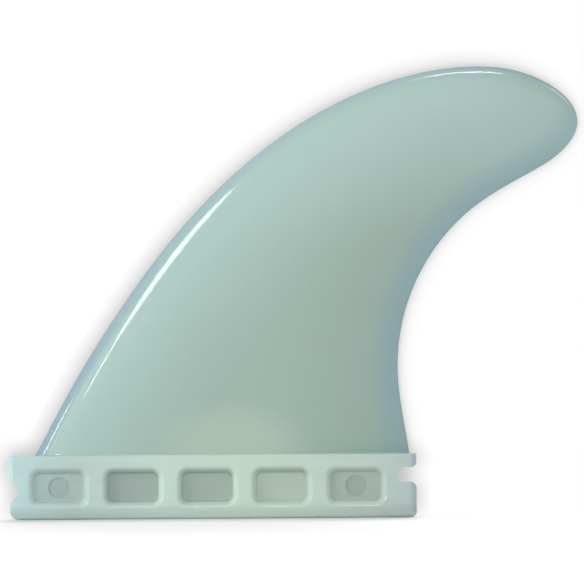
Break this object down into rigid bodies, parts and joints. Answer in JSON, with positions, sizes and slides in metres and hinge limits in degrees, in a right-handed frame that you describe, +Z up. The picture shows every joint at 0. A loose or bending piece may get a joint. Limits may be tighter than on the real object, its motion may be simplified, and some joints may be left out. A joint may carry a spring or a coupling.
{
  "type": "surfboard fin",
  "caption": "Raked side fin for a surfboard, moulded in one piece: a foiled, outward-leaning blade on a full-length pocketed tab with a screw notch in front and a hook slot behind.",
  "frame": {"origin": "middle of the tab's bottom face, halfway along the tab and halfway through its thickness", "axes": "+X towards the rear (the trailing edge and the hook slot), +Z up the blade, -Y out of the foiled outer side"},
  "size_m": [0.1593, 0.0154, 0.1253],
  "materials": {
    "moulded_plastic": "glossy pale green moulded plastic, slightly translucent"
  },
  "bodies": {
    "root": {"fin": "moulded_plastic"}
  },
  "joints": []
}
